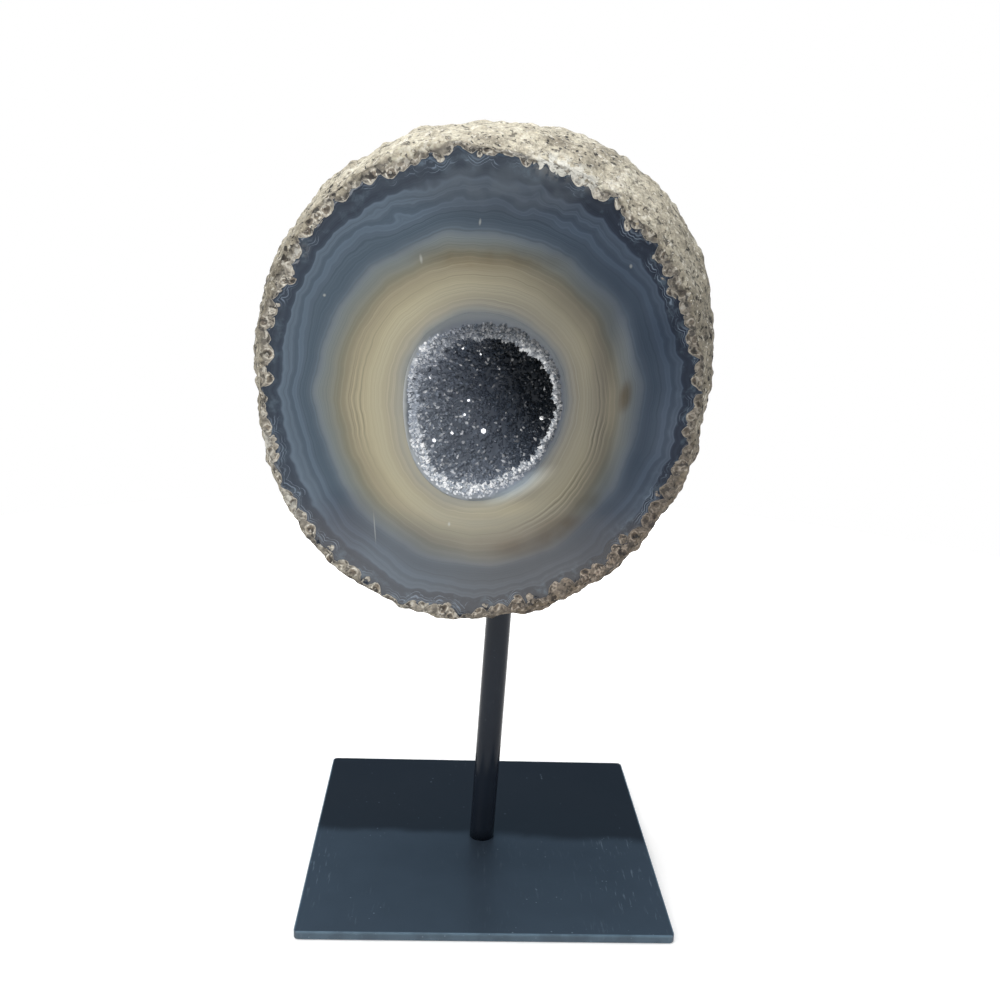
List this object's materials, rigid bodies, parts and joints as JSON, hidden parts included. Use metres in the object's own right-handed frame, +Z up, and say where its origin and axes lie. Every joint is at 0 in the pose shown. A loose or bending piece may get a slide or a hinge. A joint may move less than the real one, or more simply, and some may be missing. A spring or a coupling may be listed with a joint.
{
  "type": "polished agate half on a metal stand",
  "caption": "Cut and polished half of an agate nodule with banded face, rough rind and a crystal-lined hollow, held upright on a metal rod and square base plate.",
  "frame": {"origin": "centre of the base plate's underside", "axes": "+Z up, the polished cut faces -Y, +X to the right when looking at the cut"},
  "size_m": [0.1629, 0.13, 0.2738],
  "materials": {
    "agate": "polished banded cut in blue-grey and beige, rough grey-beige rind",
    "crystal_crust": "glassy smoky crystals, whitish along the mouth",
    "post": "semi-gloss black paint",
    "base_plate": "semi-gloss black paint with a little dust"
  },
  "bodies": {
    "root": {"agate": "agate", "crystal_crust": "crystal_crust", "post": "post", "base_plate": "base_plate"}
  },
  "joints": []
}
